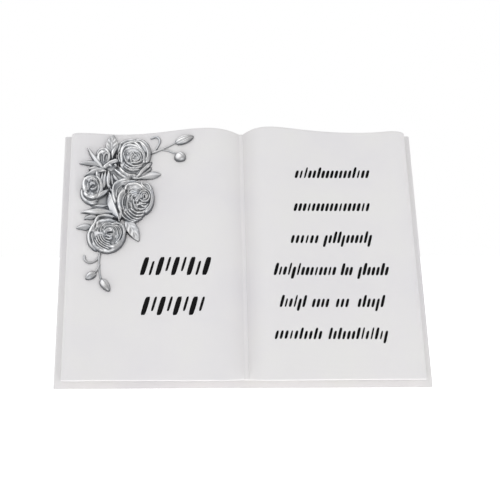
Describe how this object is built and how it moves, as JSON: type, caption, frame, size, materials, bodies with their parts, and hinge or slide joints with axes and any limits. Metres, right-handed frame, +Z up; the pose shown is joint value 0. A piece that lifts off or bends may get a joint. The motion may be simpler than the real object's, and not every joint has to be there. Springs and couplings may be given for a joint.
{
  "type": "open book headstone",
  "caption": "Graveside memorial plaque shaped as an open book leaning back on a solid wedge, with a rose spray on the upper left page and a wide flat foot.",
  "frame": {"origin": "on the ground, at the middle of the whole part's width and depth", "axes": "+Z up, +X across the book to the reader's right, +Y from the reader through the pages to the wedge behind"},
  "size_m": [0.2, 0.091, 0.1429],
  "materials": {
    "white_cast": "white cast resin stone, softly satin",
    "silver_finish": "bright silver finish over a cast spray, darker in its folds",
    "black_print": "matt black print, on the shallow strokes that stand on the pages in the looks"
  },
  "bodies": {
    "root": {"book": "white_cast", "rose_spray": "silver_finish"}
  },
  "joints": []
}
